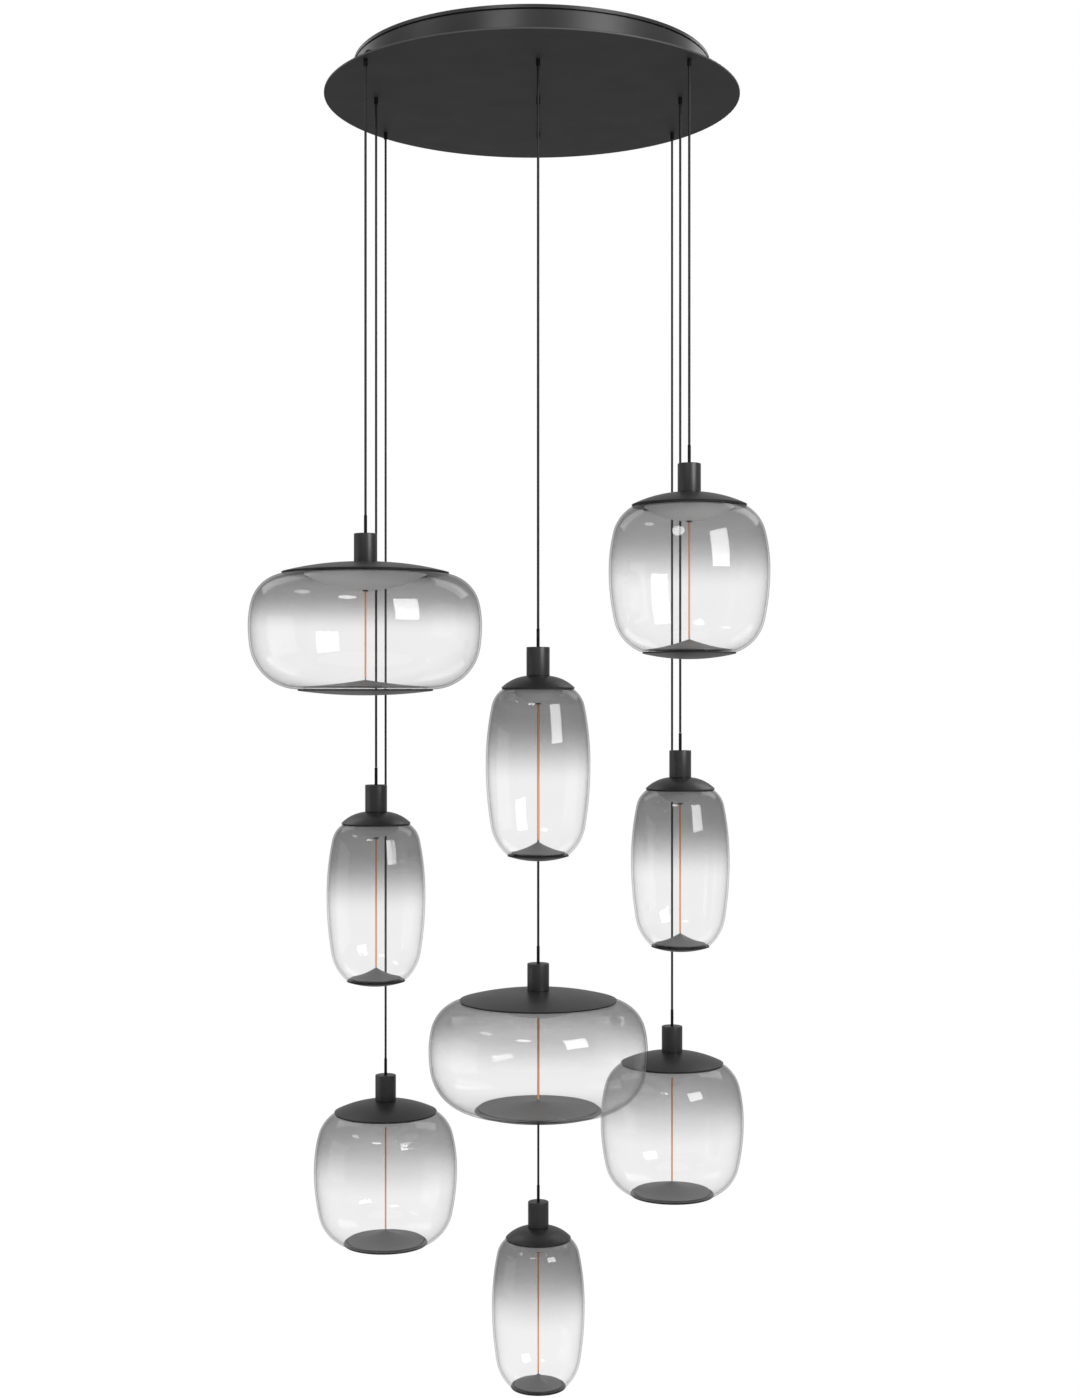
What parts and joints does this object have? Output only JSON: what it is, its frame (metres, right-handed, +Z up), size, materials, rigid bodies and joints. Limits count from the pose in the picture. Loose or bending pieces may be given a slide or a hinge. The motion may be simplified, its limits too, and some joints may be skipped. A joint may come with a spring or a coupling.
{
  "type": "cluster pendant light",
  "caption": "Ceiling pendant cluster: smoked-glass shades of three forms hang on black cords at stepped heights from one round black canopy.",
  "frame": {"origin": "centre of the ceiling plate's upper face, on the ceiling", "axes": "+Z up, -Y towards the viewer's side, +X to the viewer's right; the object hangs below z = 0"},
  "size_m": [0.7062, 0.64, 1.9762],
  "materials": {
    "black_enamel": "satin",
    "galvanised_sheet": "matte",
    "screw_steel": "satin",
    "black_rubber": "matte",
    "black_plastic": "matte",
    "cord_jacket": "matte",
    "pale_plastic": "matte",
    "driver_case": "matte",
    "smoked_glass": "gloss",
    "spun_dish": "satin",
    "spun_foot": "satin"
  },
  "bodies": {
    "canopy": {"ceiling_plate": "galvanised_sheet", "entry_grommet": "black_rubber", "canopy_drum": "black_enamel", "grub_screws": "screw_steel", "wall_grommets": "black_rubber", "canopy_plate": "black_enamel", "canopy_nuts": "screw_steel", "cord_glands": "black_plastic", "gland_nuts": "black_plastic", "cord_tails": "cord_jacket", "terminal_strip": "pale_plastic", "led_driver": "driver_case", "driver_screws": "screw_steel", "driver_lead": "cord_jacket"},
    "hanger_front_left": {"cord_front_left": "cord_jacket"},
    "lamp_front_left": {"lampholder_front_left": "black_enamel", "glass_shade_front_left": "smoked_glass", "light_unit_front_left": "spun_dish", "foot_cap_front_left": "spun_foot"},
    "hanger_front_right": {"cord_front_right": "cord_jacket"},
    "lamp_front_right": {"lampholder_front_right": "black_enamel", "glass_shade_front_right": "smoked_glass", "light_unit_front_right": "spun_dish", "foot_cap_front_right": "spun_foot"},
    "hanger_front_centre": {"cord_front_centre": "cord_jacket"},
    "lamp_front_centre": {"lampholder_front_centre": "black_enamel", "glass_shade_front_centre": "smoked_glass", "light_unit_front_centre": "spun_dish", "foot_cap_front_centre": "spun_foot"},
    "hanger_middle_left": {"cord_middle_left": "cord_jacket"},
    "lamp_middle_left": {"lampholder_middle_left": "black_enamel", "glass_shade_middle_left": "smoked_glass", "light_unit_middle_left": "spun_dish", "foot_cap_middle_left": "spun_foot"},
    "hanger_middle_right": {"cord_middle_right": "cord_jacket"},
    "lamp_middle_right": {"lampholder_middle_right": "black_enamel", "glass_shade_middle_right": "smoked_glass", "light_unit_middle_right": "spun_dish", "foot_cap_middle_right": "spun_foot"},
    "hanger_middle_centre": {"cord_middle_centre": "cord_jacket"},
    "lamp_middle_centre": {"lampholder_middle_centre": "black_enamel", "glass_shade_middle_centre": "smoked_glass", "light_unit_middle_centre": "spun_dish", "foot_cap_middle_centre": "spun_foot"},
    "hanger_back_right": {"cord_back_right": "cord_jacket"},
    "lamp_back_right": {"lampholder_back_right": "black_enamel", "glass_shade_back_right": "smoked_glass", "light_unit_back_right": "spun_dish", "foot_cap_back_right": "spun_foot"},
    "hanger_back_left": {"cord_back_left": "cord_jacket"},
    "lamp_back_left": {"lampholder_back_left": "black_enamel", "glass_shade_back_left": "smoked_glass", "light_unit_back_left": "spun_dish", "foot_cap_back_left": "spun_foot"},
    "hanger_back_centre": {"cord_back_centre": "cord_jacket"},
    "lamp_back_centre": {"lampholder_back_centre": "black_enamel", "glass_shade_back_centre": "smoked_glass", "light_unit_back_centre": "spun_dish", "foot_cap_back_centre": "spun_foot"}
  },
  "joints": [
    {"name": "swing_front_left", "type": "hinge", "parent": "canopy", "child": "hanger_front_left", "pos_m": [-0.225, -0.182, -0.058], "axis": [0, -1, 0], "range_deg": [-8, 4.5]},
    {"name": "tip_front_left", "type": "hinge", "parent": "hanger_front_left", "child": "lamp_front_left", "pos_m": [-0.225, -0.182, -0.6666], "axis": [1, 0, 0], "range_deg": [-8, 3]},
    {"name": "swing_front_right", "type": "hinge", "parent": "canopy", "child": "hanger_front_right", "pos_m": [0.214, -0.182, -0.058], "axis": [0, -1, 0], "range_deg": [-7, 8]},
    {"name": "tip_front_right", "type": "hinge", "parent": "hanger_front_right", "child": "lamp_front_right", "pos_m": [0.214, -0.182, -0.5716], "axis": [1, 0, 0], "range_deg": [-8, 8]},
    {"name": "swing_front_centre", "type": "hinge", "parent": "canopy", "child": "hanger_front_centre", "pos_m": [0.009, -0.182, -0.058], "axis": [0, -1, 0], "range_deg": [-4, 7]},
    {"name": "tip_front_centre", "type": "hinge", "parent": "hanger_front_centre", "child": "lamp_front_centre", "pos_m": [0.009, -0.182, -0.8205], "axis": [1, 0, 0], "range_deg": [-8, 8]},
    {"name": "swing_middle_left", "type": "hinge", "parent": "canopy", "child": "hanger_middle_left", "pos_m": [-0.225, -0.0123, -0.058], "axis": [0, -1, 0], "range_deg": [-8, 7]},
    {"name": "tip_middle_left", "type": "hinge", "parent": "hanger_middle_left", "child": "lamp_middle_left", "pos_m": [-0.225, -0.0123, -1.0147], "axis": [1, 0, 0], "range_deg": [-8, 8]},
    {"name": "swing_middle_right", "type": "hinge", "parent": "canopy", "child": "hanger_middle_right", "pos_m": [0.214, -0.0123, -0.058], "axis": [0, -1, 0], "range_deg": [-6, 8]},
    {"name": "tip_middle_right", "type": "hinge", "parent": "hanger_middle_right", "child": "lamp_middle_right", "pos_m": [0.214, -0.0123, -0.965], "axis": [1, 0, 0], "range_deg": [-8, 8]},
    {"name": "swing_middle_centre", "type": "hinge", "parent": "canopy", "child": "hanger_middle_centre", "pos_m": [0.009, -0.0123, -0.058], "axis": [0, -1, 0], "range_deg": [-5, 2]},
    {"name": "tip_middle_centre", "type": "hinge", "parent": "hanger_middle_centre", "child": "lamp_middle_centre", "pos_m": [0.009, -0.0123, -1.2724], "axis": [1, 0, 0], "range_deg": [-8, 4.5]},
    {"name": "swing_back_right", "type": "hinge", "parent": "canopy", "child": "hanger_back_right", "pos_m": [0.214, 0.1609, -0.058], "axis": [0, -1, 0], "range_deg": [-1.5, 8]},
    {"name": "tip_back_right", "type": "hinge", "parent": "hanger_back_right", "child": "lamp_back_right", "pos_m": [0.214, 0.1609, -1.392], "axis": [1, 0, 0], "range_deg": [-8, 8]},
    {"name": "swing_back_left", "type": "hinge", "parent": "canopy", "child": "hanger_back_left", "pos_m": [-0.225, 0.1609, -0.058], "axis": [0, -1, 0], "range_deg": [-8, 3.5]},
    {"name": "tip_back_left", "type": "hinge", "parent": "hanger_back_left", "child": "lamp_back_left", "pos_m": [-0.225, 0.1609, -1.4668], "axis": [1, 0, 0], "range_deg": [-8, 8]},
    {"name": "swing_back_centre", "type": "hinge", "parent": "canopy", "child": "hanger_back_centre", "pos_m": [0.009, 0.1609, -0.058], "axis": [0, -1, 0], "range_deg": [-3, 3.5]},
    {"name": "tip_back_centre", "type": "hinge", "parent": "hanger_back_centre", "child": "lamp_back_centre", "pos_m": [0.009, 0.1609, -1.661], "axis": [1, 0, 0], "range_deg": [-8, 8]}
  ]
}
